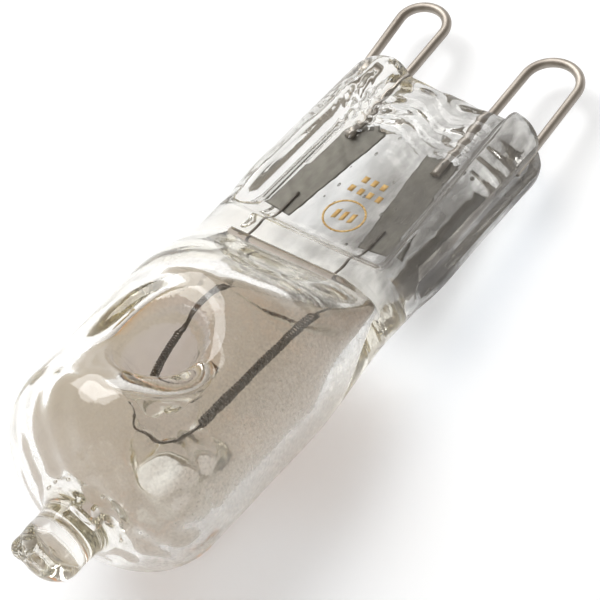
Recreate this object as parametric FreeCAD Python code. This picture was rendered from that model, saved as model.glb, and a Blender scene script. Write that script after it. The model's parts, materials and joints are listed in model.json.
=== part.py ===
import FreeCAD, Part
import os
from math import atan2, cos, degrees, pi, radians, sin, sqrt, tan

# A single-ended halogen capsule lamp: a blown quartz bulb whose open end is pressed flat round two
# looped pins, lying on its wide side as it comes to rest on a table.
# The lamp is drawn along its own axis first. x is the width of the pressed seal, y runs from the
# exhaust tip to the looped pins, and z is the thickness of the seal.

# Bulb and its dished end
bulb_diameter = 13.5
wall = 1.2
end_wall = 1.5
end_depth = 3.7
end_corner_share = 0.8
bulb_length = 13.7
shoulder_length = 6.9

# Exhaust tip, a little off the axis, and the nib left where its tube was drawn off
tip_length = 3.9
tip_diameter = 3.8
tip_corner = 1.4
tip_offset = 0.7
tip_root_fillet = 0.4
nib_diameter = 1.3
nib_reach = 1.45
nib_height = 0.65

# Pressed seal, with the glass that it has outside each pin's middle
seal_length = 16.0
seal_side = 2.15
seal_taper = 0.35
seal_thickness = 5.5
seal_corner = 2.2
seal_end_round = 2.0
circle_crown = 8.0
seal_crown = 1.5

# Gas chamber where it closes in the seal
chamber_overrun = 0.3
chamber_end_inset = 1.85
chamber_end_height = 0.7

# Recess pressed into each wide face, narrowing towards the pins, and the web that it leaves
web_thickness = 2.6
recess_floor_width = 8.8
recess_taper = 1.1
recess_side = 1.0
recess_gap = 1.0
recess_ramp = 1.4
recess_hollow = 0.3

# Groove along each narrow side for the free end of a pin
groove_clearance = 0.4
groove_gap = 2.3
groove_run_in = 1.5

# Dimples drawn in from both wide sides until they meet as a post that holds the filament
post_distance = 8.9
post_diameter = 3.4
post_foot_diameter = 7.8
dimple_floor = 0.8
dimple_tip_radius = 0.55
dimple_slope = 24.0
dimple_mouth_round = 2.4
dimple_mouth_lift = 0.1

# Looped pins, which sit a little left of the lamp's axis with all that they hold
pin_wire = 0.56
pin_spacing = 9.0
pin_offset = -0.6
pin_reach = 5.5
left_loop_width = 2.8
right_loop_width = 3.35
left_free_lean = -4.0
right_free_lean = 2.0
left_free_depth = 2.4
right_free_depth = 3.1
pin_lean = 2.3
pin_lift = 2.3

# Sealing foils, and how far the pins and the filament's leads lap over them
foil_width = 2.15
foil_thickness = 0.05
foil_length = 8.3
foil_gap = 3.4
foil_offset = 0.48
foil_toe_in = 7.0
pin_lap = 1.8
lead_lap = 1.6
weld_sink = 0.02

# Filament
lead_wire = 0.18
lead_inset = 1.55
coil_diameter = 0.67
coil_gap = 1.3

# Sections drawn through the shoulder and the seal, and how far cutting shapes pass the glass
shoulder_rows = 9
seal_rows = 7
margin = 1.0

bulb_radius = bulb_diameter / 2
chamber_radius = bulb_radius - wall
end_face = tip_length
chamber_face = end_face + end_wall
post_center = end_face + post_distance
shoulder_start = end_face + bulb_length
seal_start = shoulder_start + shoulder_length
seal_end = seal_start + seal_length
chamber_end = seal_start + chamber_overrun
seal_width = pin_spacing + 2 * seal_side
half_seal = seal_thickness / 2
half_web = web_thickness / 2
pin_tip = seal_end + pin_reach
half_leads = pin_spacing / 2 - lead_inset
coil_start = chamber_end - coil_gap
foil_start = chamber_end + foil_gap
foil_end = foil_start + foil_length
X_AXIS = FreeCAD.Vector(1, 0, 0)
Y_AXIS = FreeCAD.Vector(0, 1, 0)
Z_AXIS = FreeCAD.Vector(0, 0, 1)


def point(x, y, z=0.0):
    return FreeCAD.Vector(x, y, z)


def line(start, end):
    return Part.LineSegment(start, end).toShape()


def arc(start, middle, end):
    return Part.Arc(start, middle, end).toShape()


def ease(value, start, end):
    """0 before start, 1 after end, and a smooth rise between them."""
    share = min(max((value - start) / (end - start), 0.0), 1.0)
    return share * share * (3 - 2 * share)


def mix(first, last, share):
    return first + (last - first) * share


def revolve_profile(edges, axis):
    """The solid of revolution of a closed profile about an axis through the origin."""
    return Part.Face(Part.Wire(edges)).revolve(point(0, 0, 0), axis, 360)


def section(y, half_width, half_height, corner, crown):
    """A closed rounded oblong across the lamp at y, whose four sides are crowned by an angle.

    With both half sizes equal to the corner radius it is an exact circle, whatever the crown.
    A corner too large for the height is limited to what the crowned sides leave room for.
    """
    bend = tan(radians(crown) / 2)
    corner = min(corner, (half_height - bend * half_width) / (1 - bend))
    spare_width = half_width - corner
    spare_height = half_height - corner
    center_x = (spare_width - bend * spare_height) / (1 - bend * bend)
    center_z = (spare_height - bend * spare_width) / (1 - bend * bend)

    def corner_point(degrees_up):
        angle = radians(degrees_up)
        return center_x + corner * cos(angle), center_z + corner * sin(angle)

    def at(pair, sign_x, sign_z):
        return point(sign_x * pair[0], y, sign_z * pair[1])

    low = corner_point(crown)
    middle = corner_point(45)
    high = corner_point(90 - crown)
    side = (half_width, 0)
    top = (0, half_height)
    edges = []
    for sign_x, sign_z in ((1, 1), (-1, -1)):
        edges.append(arc(at(low, sign_x, sign_z), at(middle, sign_x, sign_z), at(high, sign_x, sign_z)))
        edges.append(arc(at(high, sign_x, sign_z), at(top, sign_x, sign_z), at(high, -sign_x, sign_z)))
        edges.append(arc(at(high, -sign_x, sign_z), at(middle, -sign_x, sign_z), at(low, -sign_x, sign_z)))
        edges.append(arc(at(low, -sign_x, sign_z), at(side, -sign_x, sign_z), at(low, -sign_x, -sign_z)))
    return Part.Wire(edges)


def outer_half_height(y):
    return mix(bulb_radius, half_seal, ease(y, shoulder_start, seal_start))


def outer_section(y):
    """The outside of the glass at y, from the round bulb to the flat seal."""
    half_width = mix(bulb_radius, seal_width / 2, ease(y, shoulder_start, seal_start))
    half_width -= seal_taper * ease(y, seal_start, seal_end)
    half_height = outer_half_height(y)
    corner = mix(bulb_radius, seal_corner, ease(y, shoulder_start, seal_start + seal_thickness))
    crown = mix(circle_crown, seal_crown, ease(y, shoulder_start, seal_start))
    return section(y, half_width, half_height, corner, crown)


def chamber_section(y):
    """The inside of the glass at y, closing to a narrow slot at the seal."""
    share = ease(y, shoulder_start, chamber_end)
    half_width = mix(chamber_radius, seal_width / 2 - chamber_end_inset, share)
    half_height = mix(chamber_radius, chamber_end_height / 2, share)
    return section(y, half_width, half_height, chamber_radius, mix(circle_crown, seal_crown, share))


def spaced(start, end, count):
    return [mix(start, end, index / (count - 1)) for index in range(count)]


def blown_bulb(radius, face, depth, top):
    """A cylinder about the lamp's axis up to top, with a dished end of that depth.

    The dish is a wide crown that turns into a tighter corner without a crease.
    """
    rim = face + depth
    corner = depth * end_corner_share
    crown = (radius ** 2 + depth ** 2 - 2 * radius * corner) / (2 * (depth - corner))
    turn = atan2(radius - corner, crown - depth)
    later = (turn + pi / 2) / 2

    def on_crown(angle):
        return point(crown * sin(angle), face + crown - crown * cos(angle))

    def on_corner(angle):
        return point(radius - corner + corner * sin(angle), rim - corner * cos(angle))

    return revolve_profile([
        arc(point(0, face), on_crown(turn / 2), on_crown(turn)),
        arc(on_crown(turn), on_corner(later), point(radius, rim)),
        line(point(radius, rim), point(radius, top)),
        line(point(radius, top), point(0, top)),
        line(point(0, top), point(0, face)),
    ], Y_AXIS)


def exhaust_tip():
    """The drop of glass that closed the exhaust tube, its end rounded."""
    radius = tip_diameter / 2
    flat = radius - tip_corner
    middle = tip_corner * sin(pi / 4)
    inside = end_face + end_wall / 2
    drop = revolve_profile([
        line(point(0, 0), point(flat, 0)),
        arc(point(flat, 0), point(flat + middle, tip_corner - middle), point(radius, tip_corner)),
        line(point(radius, tip_corner), point(radius, inside)),
        line(point(radius, inside), point(0, inside)),
        line(point(0, inside), point(0, 0)),
    ], Y_AXIS)
    drop.translate(point(tip_offset, 0, 0))
    return drop


def outer_form():
    """The outside of the glass as one solid, before anything is pressed into it."""
    near = tip_root_fillet / 4
    body = blown_bulb(bulb_radius, end_face, end_depth, shoulder_start).fuse(exhaust_tip())
    root = [edge for edge in body.Edges
            if edge.BoundBox.YMin > tip_corner + near and edge.BoundBox.XLength < tip_diameter + near]
    body = body.makeFillet(tip_root_fillet, root)
    nib = Part.makeSphere(nib_diameter / 2, point(tip_offset - nib_reach, nib_height, 0))
    rows = spaced(shoulder_start, seal_start, shoulder_rows)
    rows += spaced(seal_start, seal_end, seal_rows)[1:]
    neck = Part.makeLoft([outer_section(y) for y in rows], True, False)
    rim = [edge for edge in neck.Edges if edge.BoundBox.YMin > seal_end - near]
    neck = neck.makeFillet(seal_end_round, rim)
    return body.fuse(neck).fuse(nib).removeSplitter()


def gas_chamber():
    bulb = blown_bulb(chamber_radius, chamber_face, end_depth - end_wall, shoulder_start)
    rows = spaced(shoulder_start, chamber_end, shoulder_rows)
    return bulb.fuse(Part.makeLoft([chamber_section(y) for y in rows], True, False))


def on_post(shape):
    """Moves a shape turned about the z axis to the post's place on the lamp's axis."""
    shape.translate(point(0, post_center, 0))
    return shape


def post():
    """The waisted glass bridge across the bulb where the two dimples meet."""
    waist = post_diameter / 2
    foot = post_foot_diameter / 2
    reach = bulb_radius
    return on_post(revolve_profile([
        line(point(0, 0, -reach), point(foot, 0, -reach)),
        arc(point(foot, 0, -reach), point(waist, 0, 0), point(foot, 0, reach)),
        line(point(foot, 0, reach), point(0, 0, reach)),
        line(point(0, 0, reach), point(0, 0, -reach)),
    ], Z_AXIS))


def dimple():
    """The funnel pressed in from the upper wide side, with a round bottom and a rolled mouth."""
    slope = radians(dimple_slope)
    tip = dimple_tip_radius
    roll = dimple_mouth_round
    height = bulb_radius + dimple_mouth_lift
    top = bulb_radius + margin
    tip_center = dimple_floor + tip
    low = (pi / 2 + slope) / 2
    bottom = point(0, 0, dimple_floor)
    foot = point(tip * cos(slope), 0, tip_center - tip * sin(slope))
    neck_height = height - roll + roll * sin(slope)
    neck = point(foot.x + (neck_height - foot.z) * tan(slope), 0, neck_height)
    mouth = neck.x + roll * cos(slope)
    high = pi - low
    return on_post(revolve_profile([
        arc(bottom, point(tip * cos(low), 0, tip_center - tip * sin(low)), foot),
        line(foot, neck),
        arc(neck, point(mouth + roll * cos(high), 0, height - roll + roll * sin(high)), point(mouth, 0, height)),
        line(point(mouth, 0, height), point(mouth, 0, top)),
        line(point(mouth, 0, top), point(0, 0, top)),
        line(point(0, 0, top), bottom),
    ], Z_AXIS))


def recess_section(y):
    """What the recess clears at y, down through its floor, with a hollow wall on both sides."""
    over = half_seal + margin
    floor = recess_floor_width / 2 - recess_taper * (y - seal_start) / seal_length
    top = floor + recess_side
    middle = floor + recess_side / 2
    middle_up = half_web + (half_seal - half_web) * recess_hollow
    return Part.Wire([
        line(point(-top, y, over), point(-top, y, half_seal)),
        arc(point(-top, y, half_seal), point(-middle, y, middle_up), point(-floor, y, half_web)),
        line(point(-floor, y, half_web), point(-floor, y, -over)),
        line(point(-floor, y, -over), point(floor, y, -over)),
        line(point(floor, y, -over), point(floor, y, half_web)),
        arc(point(floor, y, half_web), point(middle, y, middle_up), point(top, y, half_seal)),
        line(point(top, y, half_seal), point(top, y, over)),
        line(point(top, y, over), point(-top, y, over)),
    ])


def recess():
    """The hollow pressed into the upper wide face, open at the end and rounding the web's edge."""
    over = half_seal + margin
    beyond = seal_end + margin
    start = seal_start + recess_gap
    bottom = start + recess_ramp
    nose = seal_end - half_web
    curve = half_web * sin(pi / 4)
    lengthwise = Part.Face(Part.Wire([
        line(point(0, start, over), point(0, start, half_seal)),
        line(point(0, start, half_seal), point(0, bottom, half_web)),
        line(point(0, bottom, half_web), point(0, nose, half_web)),
        arc(point(0, nose, half_web), point(0, nose + curve, curve), point(0, seal_end, 0)),
        line(point(0, seal_end, 0), point(0, beyond, 0)),
        line(point(0, beyond, 0), point(0, beyond, over)),
        line(point(0, beyond, over), point(0, start, over)),
    ])).extrude(point(seal_width, 0, 0))
    lengthwise.translate(point(-seal_width / 2, 0, 0))
    crosswise = Part.makeLoft([recess_section(start), recess_section(beyond)], True, True)
    return lengthwise.common(crosswise)


def free_end_offset(width, lean, depth):
    """How far from the middle between the two pins the free end of a pin lies."""
    radius = width / 2
    angle = radians(lean)
    crown = pin_reach - pin_wire / 2 - radius
    drop = crown + radius * sin(angle) + depth
    return pin_spacing / 2 + radius * cos(angle) + drop * tan(angle)


def groove():
    """The round-bottomed channel along the right narrow side, deep enough for either pin's end."""
    half = pin_wire / 2 + groove_clearance
    left = free_end_offset(left_loop_width, left_free_lean, left_free_depth) - pin_offset
    right = free_end_offset(right_loop_width, right_free_lean, right_free_depth) + pin_offset
    floor = min(left, right) - half
    start = seal_start + groove_gap
    outside = max(seal_width / 2, left, right) + margin
    beyond = seal_end + margin
    bend = half * sin(pi / 4)
    channel = Part.Face(Part.Wire([
        arc(point(floor + half, 0, -half), point(floor + half - bend, 0, -bend), point(floor, 0, 0)),
        arc(point(floor, 0, 0), point(floor + half - bend, 0, bend), point(floor + half, 0, half)),
        line(point(floor + half, 0, half), point(outside, 0, half)),
        line(point(outside, 0, half), point(outside, 0, -half)),
        line(point(outside, 0, -half), point(floor + half, 0, -half)),
    ])).extrude(point(0, beyond, 0))
    run_out = Part.Face(Part.makePolygon([
        point(outside, start, 0),
        point(floor, start + groove_run_in, 0),
        point(floor, beyond, 0),
        point(outside, beyond, 0),
        point(outside, start, 0),
    ])).extrude(point(0, 0, 4 * half))
    run_out.translate(point(0, 0, -2 * half))
    return channel.common(run_out)


def turned_over(shape, axis):
    """A copy of the shape turned half round about an axis through the origin."""
    copy = shape.copy()
    copy.rotate(point(0, 0, 0), axis, 180)
    return copy


def mirrored_width(shape):
    return shape.mirror(point(0, 0, 0), X_AXIS)


def sweep(edges, diameter, start, direction):
    """A round wire along a path of edges."""
    ring = Part.Wire(Part.makeCircle(diameter / 2, start, direction))
    return Part.Wire(edges).makePipeShell([ring], True, False)


def looped_pin(side, width, lean, depth):
    """A hairpin of wire: one leg sealed in the web, the other bent back into the side groove.

    side is 1 for the right pin and -1 for the left; a positive lean opens the free leg outward.
    Both pins stand a little askew, leaning left and lifted from the seal's middle plane.
    """
    radius = width / 2
    inner = pin_spacing / 2 - radius
    center = pin_spacing / 2
    crown = pin_tip - pin_wire / 2 - radius
    angle = radians(lean)
    turn_end = point(side * (center + radius * cos(angle)), crown + radius * sin(angle))
    half_turn = (pi + angle) / 2
    turn_middle = point(side * (center + radius * cos(half_turn)), crown + radius * sin(half_turn))
    weld_end = foil_end - pin_lap
    path = [
        line(point(side * inner, weld_end), point(side * inner, crown)),
        arc(point(side * inner, crown), turn_middle, turn_end),
        line(turn_end, point(side * free_end_offset(width, lean, depth), seal_end - depth)),
    ]
    foot = point(side * inner, weld_end)
    pin = sweep(path, pin_wire, foot, Y_AXIS)
    pin.rotate(foot, Z_AXIS, pin_lean)
    pin.rotate(foot, X_AXIS, pin_lift)
    pin.translate(point(pin_offset, 0))
    return pin


def sealing_foil(side):
    """A thin strip sealed in the web under the pin's leg and the filament's lead, toed in upward."""
    strip = Part.makeBox(foil_width, foil_length, foil_thickness)
    strip.translate(point(-foil_width / 2, 0, -foil_thickness))
    strip.rotate(point(0, 0, 0), Z_AXIS, side * foil_toe_in)
    center = pin_offset + side * (half_leads + foil_offset)
    strip.translate(point(center, foil_start, weld_sink - pin_wire / 2))
    return strip


def coil_leg(side, radius):
    """The ends of the coil's straight leg on one side: at the lead, and where it meets the post."""
    away = half_leads + side * pin_offset
    rise = coil_start - post_center
    angle = atan2(rise, away) - atan2(sqrt(away ** 2 + rise ** 2 - radius ** 2), radius)
    touch = point(side * radius * cos(angle), post_center + radius * sin(angle))
    return point(side * away, coil_start), touch


def filament():
    """One tungsten wire: two leads, a coil on each leg and the plain bend round the post."""
    level = lead_wire / 2 - pin_wire / 2
    radius = (post_diameter + coil_diameter) / 2
    right_end, right_touch = coil_leg(1, radius)
    left_end, left_touch = coil_leg(-1, radius)
    wire = sweep([
        line(right_end, right_touch),
        arc(right_touch, point(0, post_center - radius), left_touch),
        line(left_touch, left_end),
    ], lead_wire, right_end, right_touch - right_end)
    for end, touch in ((right_end, right_touch), (left_end, left_touch)):
        along = end - touch
        wire = wire.fuse(Part.makeCylinder(coil_diameter / 2, along.Length, touch, along))
    lead_start = coil_start - coil_diameter
    lead_end = foil_start + lead_lap
    for end in (right_end, left_end):
        foot = point(end.x, lead_start, level)
        wire = wire.fuse(Part.makeCylinder(lead_wire / 2, lead_end - lead_start, foot, Y_AXIS))
    return wire


def quartz_envelope(held):
    """The whole glass: blown, tipped off, dimpled and pressed shut round what it holds."""
    glass = outer_form()
    bridge = post().common(glass)
    glass = glass.cut(gas_chamber()).fuse(bridge)
    funnel = dimple()
    hollow = recess()
    channel = groove()
    for pressed in (funnel, turned_over(funnel, Y_AXIS), hollow, turned_over(hollow, Y_AXIS),
                    channel, mirrored_width(channel)):
        glass = glass.cut(pressed)
    for piece in held:
        glass = glass.cut(piece)
    return glass


def rest_tilt():
    """The angle that lays the shoulder and the seal's end on one flat surface, in degrees.

    Each pass turns the lamp by what still separates the two from the surface.
    """
    fine_rows = 400
    passes = 40
    round_start = seal_end - seal_end_round
    rows = spaced(shoulder_start, round_start, fine_rows)
    corner_height = half_seal - seal_end_round
    tilt = 0.0
    for _ in range(passes):
        slope = tan(radians(tilt))
        touch = max(outer_half_height(y) + (y - shoulder_start) * slope for y in rows)
        reach = corner_height + seal_end_round / cos(radians(tilt))
        reach += (round_start - shoulder_start) * slope
        tilt += degrees(atan2(touch - reach, seal_end - shoulder_start))
    return tilt


def lay_down(pieces):
    """Turns the finished lamp to its rest and sets its box's bottom centre on the origin."""
    whole = Part.makeCompound(list(pieces.values()))
    tilt = rest_tilt()
    whole.rotate(point(0, 0, 0), X_AXIS, -tilt)
    box = whole.optimalBoundingBox()
    shift = point(-box.Center.x, -box.Center.y, -box.ZMin)
    for shape in pieces.values():
        shape.rotate(point(0, 0, 0), X_AXIS, -tilt)
        shape.translate(shift)
    print("rest tilt", round(tilt, 3), "shift", shift, "box", box)


def build():
    left_foil = sealing_foil(-1)
    right_foil = sealing_foil(1)
    left_pin = looped_pin(-1, left_loop_width, left_free_lean, left_free_depth)
    right_pin = looped_pin(1, right_loop_width, right_free_lean, right_free_depth)
    pieces = {
        "looped_pin_left": left_pin.cut(left_foil),
        "looped_pin_right": right_pin.cut(right_foil),
        "sealing_foil_left": left_foil,
        "sealing_foil_right": right_foil,
        "filament": filament().cut(left_foil).cut(right_foil),
    }
    pieces["quartz_envelope"] = quartz_envelope(list(pieces.values()))
    lay_down(pieces)
    os.makedirs("parts", exist_ok=True)
    for name, shape in pieces.items():
        shape.exportStep("parts/" + name + ".step")
        print(name, shape.isValid(), len(shape.Solids), round(shape.Volume, 2))


build()
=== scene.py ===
import json
from math import atan2, cos, pi, radians, sin, sqrt

import bpy
import numpy as np
from mathutils import Matrix, Vector


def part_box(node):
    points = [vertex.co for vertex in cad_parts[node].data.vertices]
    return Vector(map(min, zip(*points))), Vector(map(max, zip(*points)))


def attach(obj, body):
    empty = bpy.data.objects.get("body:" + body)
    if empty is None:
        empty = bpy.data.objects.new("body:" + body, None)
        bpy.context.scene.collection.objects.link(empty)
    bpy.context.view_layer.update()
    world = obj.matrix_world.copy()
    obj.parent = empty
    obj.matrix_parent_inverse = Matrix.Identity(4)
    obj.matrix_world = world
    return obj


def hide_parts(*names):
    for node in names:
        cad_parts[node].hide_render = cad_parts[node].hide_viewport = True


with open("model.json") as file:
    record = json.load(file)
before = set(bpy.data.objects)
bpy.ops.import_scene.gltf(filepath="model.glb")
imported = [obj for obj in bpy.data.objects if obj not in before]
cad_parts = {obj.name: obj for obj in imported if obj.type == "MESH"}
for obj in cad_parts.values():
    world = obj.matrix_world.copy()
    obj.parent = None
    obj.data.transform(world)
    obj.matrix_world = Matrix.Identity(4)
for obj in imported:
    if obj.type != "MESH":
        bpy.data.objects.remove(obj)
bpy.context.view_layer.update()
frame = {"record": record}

# A halogen capsule lamp of clear quartz. Everything is drawn in the lamp's own frame first, in
# millimetres: x is the seal's width, y runs from the exhaust tip to the pins, z is the thickness.
MM = 0.001

# Bulb and shoulder
bulb_radius = 6.75
wall = 1.2
end_wall = 1.5
end_face = 3.9
end_depth = 4.7
end_corner_share = 0.8
shoulder_start = 17.6
chamber_end = 24.8
chamber_end_half_width = 4.8
chamber_end_half_height = 0.35
chamber_end_round = 0.2

# Exhaust tip, its nib and the bore left behind it
tip_radius = 1.9
tip_corner = 1.4
tip_offset = 0.7
tip_fillet = 1.3
crease_place = 2.1
crease_depth = 0.03
crease_width = 0.35
nib_radius = 0.65
nib_reach = 1.45
nib_height = 0.65
nib_fillet = 0.3
bore_end = 3.5
bore_radius = 0.7
bore_taper = 0.35
bore_round = 0.6
buried_end_round = 0.1

# Post across the bulb and the dimples drawn into it
post_height = 12.8
post_radius = 1.7
post_foot = 3.9
post_fillet = 1.4
dimple_floor = 0.8
dimple_tip = 0.55
dimple_slope = 24.0
dimple_mouth_round = 1.45

# Pressed seal, with its recesses and side grooves
seal_start = 24.5
seal_end = 40.5
seal_half_width = 6.65
seal_taper = 0.35
half_seal = 2.75
seal_corner = 2.2
seal_end_round = 2.0
corner_run = 5.5
half_web = 1.3
recess_start = 25.5
recess_ramp = 1.4
recess_ramp_round = 0.4
recess_floor = 4.4
recess_taper = 1.1
recess_side = 1.0
recess_hollow = 0.3
recess_steepness = 0.7
recess_edge_round = 0.35
groove_start = 26.8
groove_run_in = 1.5
groove_floor = 5.13
groove_half = 0.68
groove_edge_round = 0.2

# Unevenness of the glass
long_ripple_depth = 0.04
long_ripple_length = 9.0
short_ripple_depth = 0.015
short_ripple_length = 3.7
inner_ripple_depth = 0.02
inner_ripple_length = 6.0
end_ripple_depth = 0.16
end_ripple_length = 3.4
end_ripple_squeeze = 1.6
end_ripple_fade = (6.5, 10.5)
fold_depth = 0.13
fold_run = (34.5, 36.5)
fold_sides = (3.0, 3.8)
crumple_depth = 0.2
crumple_place = (-3.9, 36.2)
crumple_spread = (0.7, 2.0)

# Air caught in the glass, its sizes from least to greatest
bubble_seed = 4
bubble_rows = 6
bubble_sides = 10
root_bubbles = 13
root_bubble_sizes = (0.08, 0.2)
root_bubble_shift = 0.3
root_ring = 2.1
root_depth = 4.85
weld_bubbles = 16
weld_bubble_sizes = (0.06, 0.13)
weld_bubble_stretch = 1.5
weld_bubble_spread = (0.35, 0.8, 0.12)
weld_inset = 3.3
weld_place = 36.2
weld_level = 0.55
seal_bubbles = 26
seal_bubble_sizes = (0.04, 0.09)
seal_bubble_stretch = 2.0
seal_bubble_half_width = 4.4
seal_bubble_run = (26.5, 38.5)
seal_bubble_levels = (0.3, 0.8)

# The grid that the glass is read on, and the steps that bring its points to the surface
glass_step = 0.25
grid_half = 7.3
grid_margin = 0.5
settle_rounds = 4
flattest_slope = 0.2
longest_step = 0.1
slope_reach = 0.01

# Pins, where -1 is the left one and 1 the right one
pin_offset = -0.6
pin_wire = 0.56
pin_sides = 20
pin_steps = 40
half_pins = 4.5
pin_reach = 5.5
pin_weld_end = 34.7
pin_lean = 2.3
pin_lift = 2.3
loop_widths = {-1: 2.8, 1: 3.35}
free_leans = {-1: -4.0, 1: 2.0}
free_depths = {-1: 2.4, 1: 3.1}
free_end_steps = 30

# Foils. A wave has its depth, its count and how far it is moved.
foil_width = 2.15
foil_start = 28.2
foil_length = 8.3
foil_level = -0.285
foil_thickness = 0.03
foil_toe_in = 7.0
foil_inset = 1.07
foil_rows = 60
foil_columns = 16
ragged_end = 0.35
ragged_power = 8
ragged_waves = ((0.18, 9.0, 1), (0.12, 23.0, 2), (0.1, 51.0, 0))
edge_waves = ((0.02, 2.3, 1), (0.012, 7.1, 0))
face_waves = ((0.015, 1.7, 2), (0.006, 6.3, 9))

# Filament
half_leads = 2.95
lead_wire = 0.18
lead_sides = 12
lead_steps = 24
lead_end = 29.8
lead_bend = 1.2
bend_steps = 40
coil_start = 23.5
coil_diameter = 0.58
coil_wire = 0.13
coil_sides = 7
coil_pitch = 0.22
coil_turn_steps = 14
coil_end_turns = 0.5

# Ink mark: a ring with three slanting bars in it, and two rows of short bars beyond it
print_middle = (0.25, 29.0)
ring_inner = 1.14
ring_outer = 1.26
ring_parts = 28
slant_spacing = 0.5
slant_rise = 0.1
slant_half_width = 0.13
slant_long = 0.42
slant_short = 0.3
bar_rows = ((31.0, 4), (31.9, 3))
bar_spacing = 0.62
bar_half_width = 0.16
bar_half_length = 0.24
ink_above = 0.004
ink_below = 0.05

# The photograph's view in the lamp's frame, and where the seal's end stands in the picture
view_azimuth = 41.6
view_elevation = 45.5
view_roll = -7.5
picture_size = 600
seal_end_pixel = (463.0, 105.1)
pixels_per_mm = 17.85
camera_distance = 0.5
camera_near = 0.01
camera_far = 20.0
sensor_width = 36.0

# The studio in metres: its glow from low to high and towards its dim side, the key lamp, the floor
world_level = 0.32
studio_heights = ((0.0, (1.0, 0.99, 0.97)), (0.2, (0.80, 0.77, 0.73)), (0.45, (0.42, 0.38, 0.33)),
                  (0.8, (0.26, 0.23, 0.19)))
studio_dim_side = (0.80, 0.56, 0.0)
studio_sides = ((0.0, (1, 1, 1)), (0.9, (0.55, 0.53, 0.50)))
key_place = (-0.28, 0.15, 0.43)
key_size = 0.35
key_power = 2.5
floor_half = 3.0
floor_color = (0.8, 0.8, 0.8, 1)
floor_roughness = 0.9
floor_glow = 0.32
glass_bounces = 40

# Quartz: its surface, its shadow's tint and the tint of its depth
quartz_color = (0.99, 0.985, 0.98, 1)
quartz_index = 1.458
quartz_roughness = 0.03
quartz_dull_part = (0.45, 0.75)
quartz_bump = 0.0001
quartz_shadow = (0.79, 0.82, 0.86, 1)
quartz_depth_color = (0.91, 0.86, 0.66, 1)
quartz_density = 40.0

# The film on the quartz, part dust and part painted shade: how much on bulb and seal, and its share and
# shades from left to right
# Painted light and shade: the film is thinner and paler at the lit left, greyer at the shaded right, and
# dark over the seal
clear_film_and_shade = {"bulb": 0.03, "seal": 0.9, "lit_left_share": 0.12, "left_painted_shade": (0.24, 0.225, 0.21),
              "right_painted_shade": (0.24, 0.225, 0.21)}
dusty_film_and_shade = {"bulb": 0.36, "seal": 0.3, "lit_left_share": 0.06, "left_painted_shade": (0.95, 0.92, 0.88),
              "right_painted_shade": (0.62, 0.61, 0.59)}
film_before_seal = 2.0
film_into_seal = 3.0
film_shade_left = -0.5
film_shade_right = 0.8
film_patch_grain = (0.38, 0.68)
film_patch_share = (0.25, 1.0)
film_let_through = 0.5

# Metal and ink, each from its dark to its pale grain
wire_colors = ((0.3, (0.33, 0.295, 0.26)), (0.7, (0.54, 0.50, 0.45)))
foil_colors = ((0.3, (0.15, 0.142, 0.125)), (0.7, (0.23, 0.22, 0.195)))
coil_colors = ((0.3, (0.08, 0.07, 0.06)), (0.7, (0.22, 0.195, 0.175)))
ink_colors = ((0.35, (0.50, 0.28, 0.08)), (0.65, (0.80, 0.55, 0.22)))
grain_bump = 0.00003

# Blender's colour sockets on its Mix node
MIX_FIRST = 6
MIX_SECOND = 7
MIX_RESULT = 2

# Where the lamp lies, from the frame
mount = frame["record"]["mounts"][0]
glass_low, glass_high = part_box("quartz_envelope")
lamp_axis = Vector(mount["axis"]).normalized()
lamp_up = Vector((1, 0, 0)).cross(lamp_axis)
seal_end_middle = Vector(((glass_low[0] + glass_high[0]) / 2, mount["pos_m"][1], mount["pos_m"][2]))
lamp_origin = seal_end_middle - lamp_axis * seal_end * MM
lamp_turn = np.array([(1, 0, 0), lamp_axis, lamp_up])


def to_row(points):
    """Lamp frame in millimetres to the row frame in metres."""
    return np.asarray(points) @ lamp_turn * MM + np.array(lamp_origin)


def directions_to_row(vectors):
    return np.asarray(vectors) @ lamp_turn


def ease(value, start, end):
    """From 0 at start to 1 at end, level at both."""
    share = np.clip((value - start) / (end - start), 0, 1)
    return share * share * (3 - 2 * share)


def mix(first, last, share):
    return first + (last - first) * share


# Signed distances, negative inside the form

def round_meet(a, b, radius):
    """What lies in both a and b, its edges rounded."""
    outside = np.hypot(np.maximum(a + radius, 0), np.maximum(b + radius, 0))
    return outside + np.minimum(np.maximum(a + radius, b + radius), 0) - radius


def round_join(a, b, radius):
    """What lies in a or b, with a fillet between them."""
    return -round_meet(-a, -b, radius)


def oblong(x, z, half_width, half_height, corner):
    """A bar along y with rounded corners."""
    away_x = np.abs(x) - half_width + corner
    away_z = np.abs(z) - half_height + corner
    outside = np.hypot(np.maximum(away_x, 0), np.maximum(away_z, 0))
    return outside + np.minimum(np.maximum(away_x, away_z), 0) - corner


def crown(x, y, z, radius, face, depth):
    """The rounded end of a cylinder: a wide sphere with a tight corner, tangent all round."""
    corner = depth * end_corner_share
    ball = (radius ** 2 + depth ** 2 - 2 * radius * corner) / (2 * (depth - corner))
    away = np.hypot(x, z)
    below = face + ball - y
    on_ball = away * (ball - depth) < below * (radius - corner)
    return np.where(on_ball, np.hypot(away, below) - ball,
                    np.hypot(away - radius + corner, y - face - depth) - corner)


def bulb_and_seal(x, y, z):
    """The round bulb drawn out to the oblong seal."""
    to_seal = ease(y, shoulder_start, seal_start)
    half_width = mix(bulb_radius, seal_half_width, to_seal) - seal_taper * ease(y, seal_start, seal_end)
    half_height = mix(bulb_radius, half_seal, to_seal)
    corner = mix(bulb_radius, seal_corner, ease(y, shoulder_start, seal_start + corner_run))
    body = oblong(x, z, half_width, half_height, np.minimum(corner, half_height))
    dome = crown(x, y, z, bulb_radius, end_face, end_depth)
    body = np.where(y < end_face + end_depth, dome, body)
    return round_meet(body, y - seal_end, seal_end_round)


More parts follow.
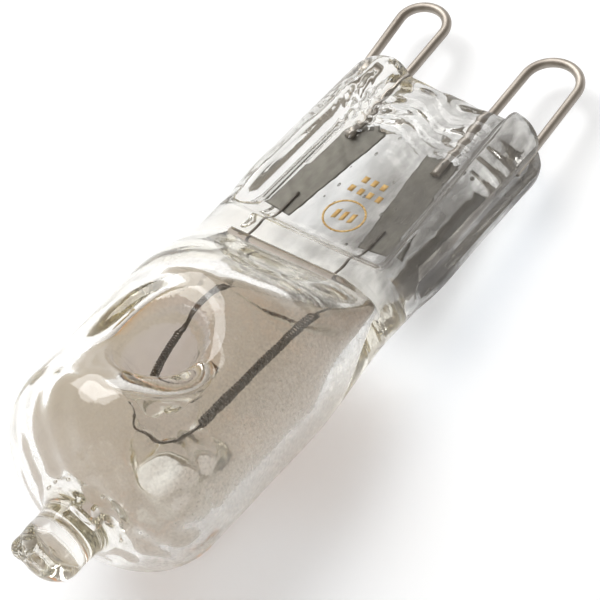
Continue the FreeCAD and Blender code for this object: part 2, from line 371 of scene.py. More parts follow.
def exhaust_tip(x, y, z):
    """The drawn-off tube at the bulb's end, creased round its foot, with a nib at its side."""
    crease = crease_depth * np.exp(-((y - crease_place) / crease_width) ** 2)
    tip = np.hypot(x - tip_offset, z) - tip_radius + crease
    tip = round_meet(tip, -y, tip_corner)
    tip = round_meet(tip, y - end_face - end_wall, buried_end_round)
    nib = np.sqrt((x - tip_offset + nib_reach) ** 2 + (y - nib_height) ** 2 + z ** 2) - nib_radius
    return round_join(tip, nib, nib_fillet)


def chamber(x, y, z):
    """The gas space, before the post crosses it."""
    share = ease(y, shoulder_start, chamber_end)
    radius = bulb_radius - wall
    half_width = mix(radius, chamber_end_half_width, share)
    half_height = mix(radius, chamber_end_half_height, share)
    space = oblong(x, z, half_width, half_height, half_height)
    dome = crown(x, y, z, radius, end_face + end_wall, end_depth - end_wall)
    space = np.where(y < end_face + end_depth, dome, space)
    return round_meet(space, y - chamber_end, chamber_end_round)


def tube_bore(x, y, z):
    """What is left of the exhaust tube's bore behind the drawn-off tip."""
    narrow = bore_taper * (1 - ease(y, bore_end, end_face))
    bore = np.hypot(x - tip_offset, z) - bore_radius + narrow
    bore = round_meet(bore, bore_end - y, bore_round)
    return round_meet(bore, y - end_face - end_wall - bore_round, buried_end_round)


def post(x, y, z):
    """The waisted bridge of glass across the bulb."""
    spread = post_foot - post_radius
    flare = (spread ** 2 + bulb_radius ** 2) / (2 * spread)
    radius = post_radius + flare - np.sqrt(flare ** 2 - np.minimum(np.abs(z), bulb_radius) ** 2)
    return np.hypot(x, y - post_height) - radius


def dimple(x, y, z):
    """Both funnels drawn into the post."""
    slope = radians(dimple_slope)
    foot = dimple_floor + dimple_tip * (1 - sin(slope))
    out = dimple_tip * cos(slope) + (np.abs(z) - foot) * sin(slope) / cos(slope)
    funnel = (np.hypot(x, y - post_height) - out) * cos(slope)
    return round_meet(funnel, dimple_floor - np.abs(z), dimple_tip)


def recess(x, y, z):
    """Both hollows in the wide faces, above the web and between the rails."""
    nose = half_web ** 2 - np.clip(y - seal_end + half_web, 0, half_web) ** 2
    web = np.sqrt(np.maximum(nose, 0))
    floor = recess_floor - recess_taper * (y - seal_start) / (seal_end - seal_start)
    across = np.maximum((np.abs(x) - floor) / recess_side, 0)
    bend = 2 - 4 * recess_hollow
    cross = web + (half_seal - web) * across * (1 - bend / 2 + bend / 2 * across)
    ramp = half_seal + (half_web - half_seal) * (y - recess_start) / recess_ramp
    return recess_steepness * round_meet(cross - np.abs(z), ramp - np.abs(z), recess_ramp_round)


def groove(x, y, z):
    """The channel along each narrow side."""
    out = np.clip((groove_start + groove_run_in - y) / groove_run_in, 0, None)
    floor = groove_floor + out * (seal_half_width - groove_floor)
    return np.hypot(np.maximum(floor + groove_half - np.abs(x), 0), z) - groove_half


# Wave patterns, whose own numbers only keep them from repeating

def ripple(x, y, z, length):
    """A gentle unevenness between 0 and 1, with waves of about that length."""
    k = 2 * pi / length
    a = np.sin(k * (x + 0.31 * y) + 1.3) * np.sin(k * (0.83 * z - 0.2 * y) + 0.4)
    b = np.sin(k * (0.9 * y + 0.4 * z) + 2.1) * np.sin(k * (0.7 * x - 0.5 * z) + 0.9)
    return (a + b + 2) / 4


def folds(x, y, z):
    """Folds pressed into the end of the web."""
    near_end = ease(y, *fold_run) * (1 - ease(np.abs(x), *fold_sides))
    wave = np.sin(6.2 * y + 2.2 * np.sin(1.5 * x + 0.5) + 0.8 * x + 1.5 * np.sign(z))
    return fold_depth * near_end * (0.5 + 0.5 * wave) * (0.6 + 0.4 * np.sin(2.3 * x - y))


def crumples(x, y):
    """Crumpled glass round the left pin's weld."""
    away_x = x - crumple_place[0]
    away_y = y - crumple_place[1]
    near_weld = np.exp(-(away_x ** 2 / crumple_spread[0] + away_y ** 2 / crumple_spread[1]))
    creases = np.abs(np.sin(6.1 * x + 2.0 * y) * np.sin(5.3 * y - 1.9 * x + 0.8))
    return crumple_depth * near_weld * creases


# The glass as a whole

def outer_form(x, y, z):
    body = round_join(bulb_and_seal(x, y, z), exhaust_tip(x, y, z), tip_fillet)
    body = body + long_ripple_depth * ripple(x, y, z, long_ripple_length)
    body = body + short_ripple_depth * ripple(z, x, y, short_ripple_length)
    body = round_meet(body, -dimple(x, y, z), dimple_mouth_round)
    body = round_meet(body, -recess(x, y, z), recess_edge_round)
    body = round_meet(body, -groove(x, y, z), groove_edge_round)
    return body + (folds(x, y, z) + crumples(x, y))


def hollow_form(x, y, z):
    hollow = round_meet(chamber(x, y, z), -post(x, y, z), post_fillet)
    hollow = hollow + inner_ripple_depth * ripple(y, z, x, inner_ripple_length) - inner_ripple_depth / 2
    near_tip = 1 - ease(y, *end_ripple_fade)
    waves_at_end = ripple(end_ripple_squeeze * x, y, end_ripple_squeeze * z, end_ripple_length) - 0.5
    hollow = hollow + end_ripple_depth * near_tip * waves_at_end
    return round_join(hollow, tube_bore(x, y, z), bore_round)


def glass(points):
    x, y, z = points[..., 0], points[..., 1], points[..., 2]
    return np.maximum(outer_form(x, y, z), -hollow_form(x, y, z))


def glass_slopes(points):
    """The gradient of the glass's distance at points."""
    out = np.empty_like(points)
    for axis in range(3):
        step = np.zeros(3)
        step[axis] = slope_reach
        out[:, axis] = (glass(points + step) - glass(points - step)) / (2 * slope_reach)
    return out


# From distances on a grid to a mesh

def other_axes(axis):
    return [other for other in range(3) if other != axis]


def edge_crossings(values):
    """For each axis: which grid edges cross the surface, how far along, and which start inside."""
    for axis in range(3):
        last = values.shape[axis] - 1
        start = values.take(range(last), axis)
        stop = values.take(range(1, last + 1), axis)
        crossed = (start < 0) != (stop < 0)
        share = np.where(crossed, start / np.where(crossed, start - stop, 1), 0)
        yield axis, crossed, share, start < 0


def cell_points(values):
    """The mean crossing in each grid cell that the surface passes, and the number of each such cell."""
    cells = tuple(size - 1 for size in values.shape)
    total = np.zeros(cells + (3,))
    count = np.zeros(cells)
    for axis, crossed, share, _ in edge_crossings(values):
        place = np.stack(np.indices(crossed.shape), -1).astype(float)
        place[..., axis] += share
        u, v = other_axes(axis)
        for du, dv in ((0, 0), (0, 1), (1, 0), (1, 1)):
            part = [slice(None)] * 3
            part[u] = slice(du, du + cells[u])
            part[v] = slice(dv, dv + cells[v])
            hit = crossed[tuple(part)]
            total += np.where(hit[..., None], place[tuple(part)], 0)
            count += hit
    used = count > 0
    index = np.full(cells, -1)
    index[used] = np.arange(used.sum())
    return total[used] / count[used][:, None], index


def cell_faces(values, index):
    """A four-sided face across each crossed edge, facing out of the glass."""
    cells = index.shape
    faces = []
    for axis, crossed, _, from_inside in edge_crossings(values):
        u, v = other_axes(axis)
        at = np.argwhere(crossed)
        at = at[(at[:, u] > 0) & (at[:, v] > 0) & (at[:, u] < cells[u]) & (at[:, v] < cells[v])]
        keep_order = from_inside[tuple(at.T)]
        if axis == 1:
            keep_order = ~keep_order
        ring = []
        for du, dv in ((-1, -1), (0, -1), (0, 0), (-1, 0)):
            near = at.copy()
            near[:, u] += du
            near[:, v] += dv
            ring.append(index[tuple(near.T)])
        ring = np.stack(ring, 1)
        ring[~keep_order] = ring[~keep_order][:, ::-1]
        faces.append(ring)
    return np.concatenate(faces)


def settled(points):
    """The points drawn onto the glass's true surface in short steps."""
    for _ in range(settle_rounds):
        slope = glass_slopes(points)
        size = np.maximum((slope ** 2).sum(1), flattest_slope)
        step = np.clip(glass(points) / size, -longest_step, longest_step)
        points = points - step[:, None] * slope
    return points


def glass_skin():
    """Points, faces and normals of the glass, inside and out."""
    low = np.array([-grid_half, -grid_margin, -grid_half])
    high = np.array([grid_half, seal_end + grid_margin, grid_half])
    counts = np.ceil((high - low) / glass_step).astype(int) + 1
    lines = [low[axis] + glass_step * np.arange(counts[axis]) for axis in range(3)]
    values = glass(np.stack(np.meshgrid(*lines, indexing="ij"), -1))
    points, index = cell_points(values)
    points = settled(points * glass_step + low)
    slope = glass_slopes(points)
    return points, cell_faces(values, index), slope / np.linalg.norm(slope, axis=1)[:, None]


def add_mesh(name, points, faces, normals=None):
    """A piece from lamp-frame points and faces, smooth shaded."""
    mesh = bpy.data.meshes.new(name)
    mesh.from_pydata(to_row(points).tolist(), [], [list(map(int, face)) for face in faces])
    mesh.polygons.foreach_set("use_smooth", [True] * len(mesh.polygons))
    if normals is not None:
        mesh.normals_split_custom_set_from_vertices(directions_to_row(normals).tolist())
    mesh.update()
    piece = bpy.data.objects.new(name, mesh)
    bpy.context.scene.collection.objects.link(piece)
    return piece


def add_parts(name, parts):
    """One piece from several sets of points and faces."""
    verts = []
    faces = []
    for points, rings in parts:
        faces += [tuple(k + len(verts) for k in ring) for ring in rings]
        verts += list(points)
    return add_mesh(name, verts, faces)


# Glass with its bubbles

def unit_ball():
    """Points and faces of a ball, its faces turned to its middle."""
    away = [(0, 0, 1)]
    for row in range(1, bubble_rows):
        down = pi * row / bubble_rows
        for k in range(bubble_sides):
            turn = 2 * pi * k / bubble_sides
            away.append((sin(down) * cos(turn), sin(down) * sin(turn), cos(down)))
    away.append((0, 0, -1))
    last = len(away) - 1
    faces = []
    for k in range(bubble_sides):
        after = (k + 1) % bubble_sides
        faces.append((0, 1 + after, 1 + k))
        for row in range(bubble_rows - 2):
            upper = 1 + row * bubble_sides
            lower = upper + bubble_sides
            faces.append((upper + k, upper + after, lower + after, lower + k))
        faces.append((last, last - bubble_sides + k, last - bubble_sides + after))
    return np.array(away, float), faces


def bubble(place, radii):
    """Points, faces and normals of one bubble, which face its own middle."""
    away, faces = unit_ball()
    normals = -away / np.array(radii)
    normals /= np.linalg.norm(normals, axis=1)[:, None]
    return away * radii + place, faces, normals


def bubble_places():
    """Air caught round the exhaust tube's root, at the left weld and along the seal."""
    chance = np.random.default_rng(bubble_seed)
    found = []
    for k in range(root_bubbles):
        turn = 2 * pi * (k + chance.uniform(-root_bubble_shift, root_bubble_shift)) / root_bubbles
        size = chance.uniform(*root_bubble_sizes)
        spot = (tip_offset + root_ring * cos(turn), root_depth, root_ring * sin(turn))
        found.append((spot, (size, size, size)))
    for _ in range(weld_bubbles):
        size = chance.uniform(*weld_bubble_sizes)
        spot = chance.normal((pin_offset - weld_inset, weld_place, weld_level), weld_bubble_spread)
        found.append((spot, (size, weld_bubble_stretch * size, size)))
    for _ in range(seal_bubbles):
        size = chance.uniform(*seal_bubble_sizes)
        x = chance.uniform(-seal_bubble_half_width, seal_bubble_half_width)
        y = chance.uniform(*seal_bubble_run)
        z = chance.uniform(*seal_bubble_levels)
        found.append(((x, y, z), (size, seal_bubble_stretch * size, size)))
    return found


def make_glass():
    """The envelope with its bubbles. Its faces round the gas space take the second material."""
    points, faces, normals = glass_skin()
    middle = points[faces].mean(1)
    inside = (np.abs(chamber(*middle.T)) < wall / 2).tolist()
    faces = faces.tolist()
    for place, radii in bubble_places():
        skin, rings, inward = bubble(place, radii)
        faces += [[k + len(points) for k in ring] for ring in rings]
        points = np.concatenate([points, skin])
        normals = np.concatenate([normals, inward])
    piece = add_mesh("quartz_glass", points, faces, normals)
    inside += [False] * (len(faces) - len(inside))
    piece.data.polygons.foreach_set("material_index", inside)
    return piece


# Pins and foils

def tube(points, radius, sides):
    """Points and faces of a closed round tube along a smooth row of points that sets off across z."""
    points = np.asarray(points, float)
    ahead = np.gradient(points, axis=0)
    ahead /= np.linalg.norm(ahead, axis=1)[:, None]
    side = np.cross(ahead[0], (0, 0, 1))
    rings = []
    angles = 2 * pi * np.arange(sides) / sides
    for place, direction in zip(points, ahead):
        side = side - direction * side.dot(direction)
        side /= np.linalg.norm(side)
        up = np.cross(direction, side)
        rings.append(place + radius * (np.cos(angles)[:, None] * side + np.sin(angles)[:, None] * up))
    verts = np.concatenate(rings)
    faces = []
    for row in range(len(points) - 1):
        for k in range(sides):
            a = row * sides + k
            b = row * sides + (k + 1) % sides
            faces.append((a, b, b + sides, a + sides))
    faces.append(tuple(reversed(range(sides))))
    faces.append(tuple(range(len(verts) - sides, len(verts))))
    return verts, faces


def turned(points, center, axis, degrees_round):
    turn = np.array(Matrix.Rotation(radians(degrees_round), 3, axis))
    return (np.asarray(points) - center) @ turn.T + center


def pin_path(side):
    """The wire's middle line, from its weld through the loop to its free end."""
    radius = loop_widths[side] / 2
    lean = radians(free_leans[side])
    inner = half_pins - radius
    level = seal_end + pin_reach - pin_wire / 2 - radius
    path = [(side * inner, y, 0) for y in np.linspace(pin_weld_end, level, pin_steps)]
    for turn in np.linspace(pi, lean, pin_steps)[1:]:
        path.append((side * (half_pins + radius * cos(turn)), level + radius * sin(turn), 0))
    x, y, _ = path[-1]
    drop = y - (seal_end - free_depths[side])
    for share in np.linspace(0, 1, free_end_steps)[1:]:
        path.append((x + side * share * drop * sin(lean) / cos(lean), y - share * drop, 0))
    foot = np.array((side * inner, pin_weld_end, 0))
    path = turned(path, foot, "Z", pin_lean)
    path = turned(path, foot, "X", pin_lift)
    return path + np.array((pin_offset, 0, 0))


def make_pin(side, name):
    points, faces = tube(pin_path(side), pin_wire / 2, pin_sides)
    return add_mesh(name, points, faces)


def waves(place, shift, parts):
    """Sine waves along place added up, each moved by its own share of shift."""
    return sum(depth * sin(count * place + move * shift) for depth, count, move in parts)


def foil_point(u, v, level, side):
    """The foil's point at u across it and v along it, with its uneven edges and ragged end."""
    y = v * (foil_length - ragged_end) + waves(u, side, ragged_waves) * v ** ragged_power
    x = u * foil_width * (1 + waves(y, side, edge_waves))
    return x, y, level + waves(y, u, face_waves)


def strip_faces(rows, columns):
    """Faces of a thin strip: its upper side, its lower side and the rim between them."""
    faces = []
    below = rows * columns
    for row in range(rows - 1):
        for column in range(columns - 1):
            a = row * columns + column
            b = a + columns
            faces.append((a, a + 1, b + 1, b))
            faces.append((a + below, b + below, b + below + 1, a + below + 1))
    rim = list(range(columns))
    rim += [row * columns + columns - 1 for row in range(1, rows)]
    rim += [(rows - 1) * columns + column for column in range(columns - 2, -1, -1)]
    rim += [row * columns for row in range(rows - 2, 0, -1)]
    for a, b in zip(rim, rim[1:] + rim[:1]):
        faces.append((b, a, a + below, b + below))
    return faces


def make_foil(side, name):
    points = []
    for level in (0, -foil_thickness):
        for v in np.linspace(0, 1, foil_rows):
            for u in np.linspace(-0.5, 0.5, foil_columns):
                points.append(foil_point(u, v, level, side))
    points = turned(points, np.zeros(3), "Z", side * foil_toe_in)
    points = points + np.array((pin_offset + side * (half_pins - foil_inset), foil_start, foil_level))
    return add_mesh(name, points, strip_faces(foil_rows, foil_columns))


# Filament

def coil_leg(side, radius):
    """Where a leg's coil ends by the seal, and the angle at which it meets the bend."""
    away = half_leads + side * pin_offset
    rise = coil_start - post_height
    angle = atan2(rise, away) - atan2(sqrt(away ** 2 + rise ** 2 - radius ** 2), radius)
    return np.array((side * away, coil_start, 0)), angle


def coil_turns(start, end):
    """A helix on the straight leg from start to end, both its ends drawn in to the middle."""
    along = end - start
    length = np.linalg.norm(along)
    along = along / length
    side = np.cross(along, (0, 0, 1))
    steps = np.linspace(0, length, int(length / coil_pitch * coil_turn_steps))
    phase = 2 * pi * steps / coil_pitch
    fade = np.minimum(1, np.minimum(steps, length - steps) / (coil_end_turns * coil_pitch))
    radius = (coil_diameter - coil_wire) / 2 * fade
    around = np.cos(phase)[:, None] * side + np.sin(phase)[:, None] * np.array((0, 0, 1))
    return start + steps[:, None] * along + radius[:, None] * around


def lead_path(end):
    """A lead from its coil's end into the seal, down to the foil."""
    level = (lead_wire - pin_wire) / 2
    return [(end[0], y, level * ease(y, coil_start, coil_start + lead_bend))
            for y in np.linspace(coil_start, lead_end, lead_steps)]


def make_filament():
    """One wire: a plain bend round the post, a coil on each leg and two leads."""
    radius = post_radius + coil_diameter / 2
    right_end, right_angle = coil_leg(1, radius)
    left_end, left_angle = coil_leg(-1, radius)
    bend = [(radius * cos(t), post_height + radius * sin(t), 0)
            for t in np.linspace(right_angle, -pi - left_angle, bend_steps)]
    parts = [tube(coil_turns(right_end, np.array(bend[0])), coil_wire / 2, coil_sides),
             tube(coil_turns(left_end, np.array(bend[-1])), coil_wire / 2, coil_sides),
             tube(bend, lead_wire / 2, lead_sides)]
    for end in (right_end, left_end):
        parts.append(tube(lead_path(end), lead_wire / 2, lead_sides))
    return add_parts("coiled_filament", parts)


# Ink mark

def flake(outline):
    """A thin upright-sided flake of ink on the web, from its outline."""
    count = len(outline)
    verts = [(x, y, half_web + ink_above) for x, y in outline]
    verts += [(x, y, half_web - ink_below) for x, y in outline]
    faces = [tuple(range(count)), tuple(range(2 * count - 1, count - 1, -1))]
    for k in range(count):
        after = (k + 1) % count
        faces.append((k, k + count, after + count, after))
    return verts, faces


def print_ring():
    x, y = print_middle
    flakes = []
    for k in range(ring_parts):
        a = 2 * pi * k / ring_parts
        b = 2 * pi * (k + 1) / ring_parts
        corners = ((ring_inner, a), (ring_outer, a), (ring_outer, b), (ring_inner, b))
        flakes.append(flake([(x + r * cos(t), y + r * sin(t)) for r, t in corners]))
    return flakes


def print_slants():
    """The ring's three bars, with slanting ends."""
    flakes = []
    for across in (-slant_spacing, 0.0, slant_spacing):
        x = print_middle[0] + across
        y = print_middle[1] + slant_rise * across
        left = x - slant_half_width
        right = x + slant_half_width
        flakes.append(flake([(left, y - slant_long), (right, y - slant_short),
                             (right, y + slant_long), (left, y + slant_short)]))
    return flakes


def print_bars():
    """The rows of short upright bars."""
    flakes = []
    for y, count in bar_rows:
        for k in range(count):
            x = print_middle[0] + bar_spacing * (k - (count - 1) / 2)
            left = x - bar_half_width
            right = x + bar_half_width
            flakes.append(flake([(left, y - bar_half_length), (right, y - bar_half_length),
                                 (right, y + bar_half_length), (left, y + bar_half_length)]))
    return flakes


def make_print():
    return add_parts("ochre_print", print_ring() + print_slants() + print_bars())


# Material nodes

def new_material(name):
    material = bpy.data.materials.new(name)
    material.use_nodes = True
    nodes = material.node_tree.nodes
    return material, nodes, material.node_tree.links, nodes["Principled BSDF"], nodes["Material Output"]


def feed(links, source, socket):
    """Link the source to the socket, or set the socket where the source is a plain value."""
    if isinstance(source, bpy.types.NodeSocket):
        links.new(source, socket)
    else:
        socket.default_value = source


def noise(nodes, links, scale, detail, stretch=(1, 1, 1)):
    """Noise stretched along the row's axes and then turned by the lamp's slant."""
    place = nodes.new("ShaderNodeTexCoord")
    mapping = nodes.new("ShaderNodeMapping")
    mapping.inputs["Scale"].default_value = stretch
    mapping.inputs["Rotation"].default_value = (-atan2(-lamp_axis.z, lamp_axis.y), 0, 0)
    texture = nodes.new("ShaderNodeTexNoise")
    texture.inputs["Scale"].default_value = scale
    texture.inputs["Detail"].default_value = detail
    links.new(place.outputs["Object"], mapping.inputs["Vector"])
    links.new(mapping.outputs["Vector"], texture.inputs["Vector"])
    return texture.outputs["Fac"]


def ramp(nodes, links, source, stops):
    """A colour that passes through the stops as the source grows."""
    node = nodes.new("ShaderNodeValToRGB")
    ends = node.color_ramp.elements
    for end, (position, color) in zip(ends, (stops[0], stops[-1])):
        end.position = position
        end.color = (*color, 1)
    for position, color in stops[1:-1]:
        ends.new(position).color = (*color, 1)
    links.new(source, node.inputs["Fac"])
    return node.outputs["Color"]


def bump(nodes, links, source, strength, distance, shader):
    node = nodes.new("ShaderNodeBump")
    node.inputs["Strength"].default_value = strength
    node.inputs["Distance"].default_value = distance
    links.new(source, node.inputs["Height"])
    links.new(node.outputs["Normal"], shader.inputs["Normal"])


def combine(nodes, links, operation, first, second):
    """Two numbers put through a Math node."""
    node = nodes.new("ShaderNodeMath")
    node.operation = operation
    links.new(first, node.inputs[0])
    links.new(second, node.inputs[1])
    return node.outputs[0]


def map_range(nodes, links, source, start, stop, first, last, shape="LINEAR"):
    """The share of the way from start to stop, as a value from first to last."""
    node = nodes.new("ShaderNodeMapRange")
    node.interpolation_type = shape
    node.inputs["From Min"].default_value = start
    node.inputs["From Max"].default_value = stop
    node.inputs["To Min"].default_value = first
    node.inputs["To Max"].default_value = last
    links.new(source, node.inputs["Value"])
    return node.outputs["Result"]


def mix_shaders(nodes, links, share, first, second):
    node = nodes.new("ShaderNodeMixShader")
    feed(links, share, node.inputs[0])
    links.new(first, node.inputs[1])
    links.new(second, node.inputs[2])
    return node.outputs[0]


def mix_colors(nodes, links, share, first, second, blend="MIX"):
    node = nodes.new("ShaderNodeMix")
    node.data_type = "RGBA"
    node.blend_type = blend
    feed(links, share, node.inputs["Factor"])
    feed(links, first, node.inputs[MIX_FIRST])
    feed(links, second, node.inputs[MIX_SECOND])
    return node.outputs[MIX_RESULT]


def place_parts(nodes, links):
    """The place on the piece, split into its x, y and z."""
    place = nodes.new("ShaderNodeTexCoord")
    parts = nodes.new("ShaderNodeSeparateXYZ")
    links.new(place.outputs["Object"], parts.inputs[0])
    return parts.outputs


# Materials

def film_and_shade_spread(nodes, links, dust, parts, across, film_and_shade):
    """How much film lies at a place: by bulb or seal, in patches of dust, and less at the left where
    light falls, as painted light.
    """
    run = [[0, seal_start - film_before_seal, 0], [0, seal_start + film_into_seal, 0]]
    bulb_side, seal_side = to_row(run)[:, 1]
    along = map_range(nodes, links, parts["Y"], bulb_side, seal_side, film_and_shade["bulb"], film_and_shade["seal"],
                      "SMOOTHSTEP")
    thinned_at_lit_left = map_range(nodes, links, across, 0.0, 1.0, film_and_shade["lit_left_share"], 1.0)
    patches = map_range(nodes, links, dust, *film_patch_grain, *film_patch_share)
    amount = combine(nodes, links, "MULTIPLY", along, patches)
    return combine(nodes, links, "MULTIPLY", amount, thinned_at_lit_left)


def add_film_and_shade(nodes, links, dust, shader, film_and_shade):
    """The glass under a thin film of dust and painted shade, which changes from left to right and from
    bulb to seal: paler at the lit left, greyer at the shaded right.
    """
    parts = place_parts(nodes, links)
    left = film_shade_left * bulb_radius * MM
    right = film_shade_right * bulb_radius * MM
    across = map_range(nodes, links, parts["X"], left, right, 0.0, 1.0)
    amount = film_and_shade_spread(nodes, links, dust, parts, across, film_and_shade)
    # Painted light and shade: the film's colour runs from the paler left to the greyer right
    painted_shade = ramp(nodes, links, across, [(0.0, film_and_shade["left_painted_shade"]), (1.0, film_and_shade["right_painted_shade"])])
    near = nodes.new("ShaderNodeBsdfDiffuse")
    links.new(painted_shade, near.inputs["Color"])
    behind = nodes.new("ShaderNodeBsdfTranslucent")
    links.new(painted_shade, behind.inputs["Color"])
    both = mix_shaders(nodes, links, film_let_through, near.outputs[0], behind.outputs[0])
    return mix_shaders(nodes, links, amount, shader.outputs[0], both)


def add_depth(nodes, links, output):
    """The faint tint that quartz gets where it is thick."""
    volume = nodes.new("ShaderNodeVolumeAbsorption")
    volume.inputs["Color"].default_value = quartz_depth_color
    volume.inputs["Density"].default_value = quartz_density
    links.new(volume.outputs[0], output.inputs["Volume"])


def quartz_material(name, grain, unevenness, film_and_shade):
    """Quartz under its film of dust and painted shade; the quartz lets shadow rays through with a tint.
    """
    material, nodes, links, shader, output = new_material(name)
    shader.inputs["Base Color"].default_value = quartz_color
    shader.inputs["Transmission Weight"].default_value = 1.0
    shader.inputs["IOR"].default_value = quartz_index
    dust = noise(nodes, links, *grain)
    dullness = map_range(nodes, links, dust, *quartz_dull_part, 0.0, quartz_roughness)
    links.new(dullness, shader.inputs["Roughness"])
    bump(nodes, links, dust, unevenness, quartz_bump, shader)
    filmed = add_film_and_shade(nodes, links, dust, shader, film_and_shade)
    clear = nodes.new("ShaderNodeBsdfTransparent")
    clear.inputs["Color"].default_value = quartz_shadow
    path = nodes.new("ShaderNodeLightPath")
    surface = mix_shaders(nodes, links, path.outputs["Is Shadow Ray"], filmed, clear.outputs[0])
    links.new(surface, output.inputs["Surface"])
    add_depth(nodes, links, output)
    return material


def grained_material(name, colors, grain, roughness, bump_strength):
    """Colour, roughness and height from one grain, given as its scale, detail and stretch."""
    material, nodes, links, shader, _ = new_material(name)
    source = noise(nodes, links, *grain)
    links.new(ramp(nodes, links, source, colors), shader.inputs["Base Color"])
    links.new(map_range(nodes, links, source, 0.0, 1.0, *roughness), shader.inputs["Roughness"])
    bump(nodes, links, source, bump_strength, grain_bump, shader)
    return material


def metal_material(name, colors, grain, roughness, bump_strength):
    material = grained_material(name, colors, grain, roughness, bump_strength)
    material.node_tree.nodes["Principled BSDF"].inputs["Metallic"].default_value = 1.0
    return material


# Studio

def seen_rays(nodes, links):
    """1 for rays from the camera, straight or by way of metal and glass."""
    path = nodes.new("ShaderNodeLightPath")
    last = path.outputs["Is Camera Ray"]
    for name in ("Is Glossy Ray", "Is Transmission Ray"):
        last = combine(nodes, links, "MAXIMUM", last, path.outputs[name])
    return last


def floor_material():
    """Matt white, with a glow that only seen rays find."""
    material, nodes, links, shader, output = new_material("white_floor")
    shader.inputs["Base Color"].default_value = floor_color
    shader.inputs["Roughness"].default_value = floor_roughness
    shader.inputs["Specular IOR Level"].default_value = 0.0
    glow = nodes.new("ShaderNodeEmission")
    strength = map_range(nodes, links, seen_rays(nodes, links), 0.0, 1.0, 0.0, floor_glow)
    links.new(strength, glow.inputs["Strength"])
    both = nodes.new("ShaderNodeAddShader")
    links.new(shader.outputs[0], both.inputs[0])
    links.new(glow.outputs[0], both.inputs[1])
    links.new(both.outputs[0], output.inputs["Surface"])
    return material


def add_floor():
    mesh = bpy.data.meshes.new("floor")
    corners = [(-floor_half, -floor_half, 0), (floor_half, -floor_half, 0),
               (floor_half, floor_half, 0), (-floor_half, floor_half, 0)]
    mesh.from_pydata(corners, [], [(0, 1, 2, 3)])
    floor = bpy.data.objects.new("floor", mesh)
    bpy.context.scene.collection.objects.link(floor)
    mesh.materials.append(floor_material())


def studio_room(nodes, links):
    """The studio's walls and ceiling, from their height and their side."""
    place = nodes.new("ShaderNodeTexCoord")
    split = nodes.new("ShaderNodeSeparateXYZ")
    links.new(place.outputs["Generated"], split.inputs[0])
    heights = ramp(nodes, links, split.outputs["Z"], studio_heights)
    side = nodes.new("ShaderNodeVectorMath")
    side.operation = "DOT_PRODUCT"
    side.inputs[1].default_value = studio_dim_side
    links.new(place.outputs["Generated"], side.inputs[0])
    sides = ramp(nodes, links, side.outputs["Value"], studio_sides)
    return mix_colors(nodes, links, 1.0, heights, sides, "MULTIPLY")


def add_world():
    """White to the camera, an even grey to matt surfaces, and to metal and glass the studio."""
    world = bpy.data.worlds.new("studio")
    bpy.context.scene.world = world
    world.use_nodes = True
    nodes, links = world.node_tree.nodes, world.node_tree.links
    path = nodes.new("ShaderNodeLightPath")
    white = (1.0, 1.0, 1.0, 1.0)
    plain = (world_level, world_level, world_level, 1.0)
    seen = mix_colors(nodes, links, path.outputs["Is Camera Ray"], studio_room(nodes, links), white)
    light = mix_colors(nodes, links, path.outputs["Is Diffuse Ray"], seen, plain)
    links.new(light, nodes["Background"].inputs["Color"])


def add_key():
    """The one lamp, square, turned to the middle of the floor."""
    light = bpy.data.lights.new("key", "AREA")
    light.size = key_size
    light.energy = key_power
    lamp = bpy.data.objects.new("key", light)
    lamp.location = key_place
    lamp.rotation_mode = "QUATERNION"
    lamp.rotation_quaternion = (-Vector(key_place)).to_track_quat("-Z", "Y")
    bpy.context.scene.collection.objects.link(lamp)


def camera_turn():
    """The camera's turn in the row frame: its columns point right, up and back."""
    azimuth = radians(view_azimuth)
    elevation = radians(view_elevation)
    back = Vector((sin(azimuth) * cos(elevation), -cos(azimuth) * cos(elevation), sin(elevation)))
    straight = (-back).to_track_quat("-Z", "Y").to_matrix() @ Matrix.Rotation(radians(view_roll), 3, "Z")
    return Matrix(lamp_turn.tolist()).transposed() @ straight


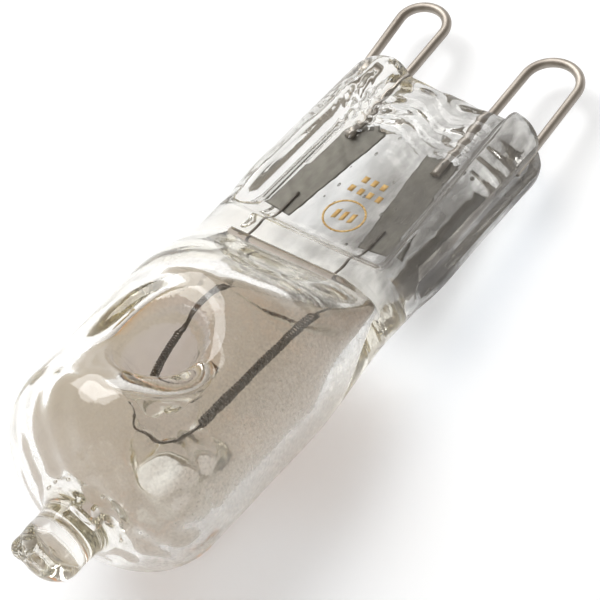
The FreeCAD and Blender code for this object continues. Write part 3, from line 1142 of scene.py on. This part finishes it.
def add_camera():
    """A camera that puts the middle of the seal's end at its place in the picture."""
    turn = camera_turn()
    right, up, back = turn.col
    off_x = (seal_end_pixel[0] - picture_size / 2) / pixels_per_mm * MM
    off_y = (picture_size / 2 - seal_end_pixel[1]) / pixels_per_mm * MM
    target = seal_end_middle - right * off_x - up * off_y
    camera = bpy.data.objects.new("camera", bpy.data.cameras.new("camera"))
    camera.rotation_mode = "QUATERNION"
    camera.rotation_quaternion = turn.to_quaternion()
    camera.location = target + back * camera_distance
    camera.data.sensor_width = sensor_width
    camera.data.lens = sensor_width * camera_distance * pixels_per_mm / (picture_size * MM)
    camera.data.clip_start = camera_near
    camera.data.clip_end = camera_far
    bpy.context.scene.collection.objects.link(camera)
    bpy.context.scene.camera = camera


def set_light_paths():
    """Light crosses many walls of glass, which turn black where it is followed less far."""
    cycles = bpy.context.scene.cycles
    cycles.max_bounces = glass_bounces
    cycles.transmission_bounces = glass_bounces
    cycles.glossy_bounces = glass_bounces


def dress(piece, node, slot, *materials):
    for material in materials:
        piece.data.materials.append(material)
    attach(piece, "root")
    if node:
        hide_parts(node)


pin_metal = metal_material("drawn_wire", wire_colors, grain=(1200, 6, (1, 0.08, 1)),
                           roughness=(0.42, 0.6), bump_strength=0.5)
foil_metal = metal_material("grey_foil", foil_colors, grain=(3000, 6, (1, 0.5, 1)),
                            roughness=(0.52, 0.7), bump_strength=0.3)
coil_metal = metal_material("tungsten", coil_colors, grain=(4000, 6),
                            roughness=(0.32, 0.5), bump_strength=0.3)
ochre_ink = grained_material("ochre_ink", ink_colors, grain=(2500, 4),
                             roughness=(0.5, 0.75), bump_strength=0.3)
# Both quartz materials carry painted shade in their film: thinner and paler at the left, greyer at the
# right, dark over the seal
clear_quartz_painted_shade = quartz_material("clear_quartz_painted_shade", grain=(900, 3, (1, 0.35, 1)), unevenness=0.12,
                               film_and_shade=clear_film_and_shade)
dusty_quartz_painted_shade = quartz_material("dusty_quartz_painted_shade", grain=(5000, 5), unevenness=0.02, film_and_shade=dusty_film_and_shade)
dress(make_glass(), "quartz_envelope", "quartz", clear_quartz_painted_shade, dusty_quartz_painted_shade)
dress(make_pin(-1, "pin_loop_left"), "looped_pin_left", "pin_metal", pin_metal)
dress(make_pin(1, "pin_loop_right"), "looped_pin_right", "pin_metal", pin_metal)
dress(make_foil(-1, "foil_strip_left"), "sealing_foil_left", "foil_metal", foil_metal)
dress(make_foil(1, "foil_strip_right"), "sealing_foil_right", "foil_metal", foil_metal)
dress(make_filament(), "filament", "filament_metal", coil_metal)
dress(make_print(), None, "print", ochre_ink)
add_floor()
add_world()
add_key()
add_camera()
set_light_paths()
bpy.context.scene.view_settings.view_transform = "Standard"
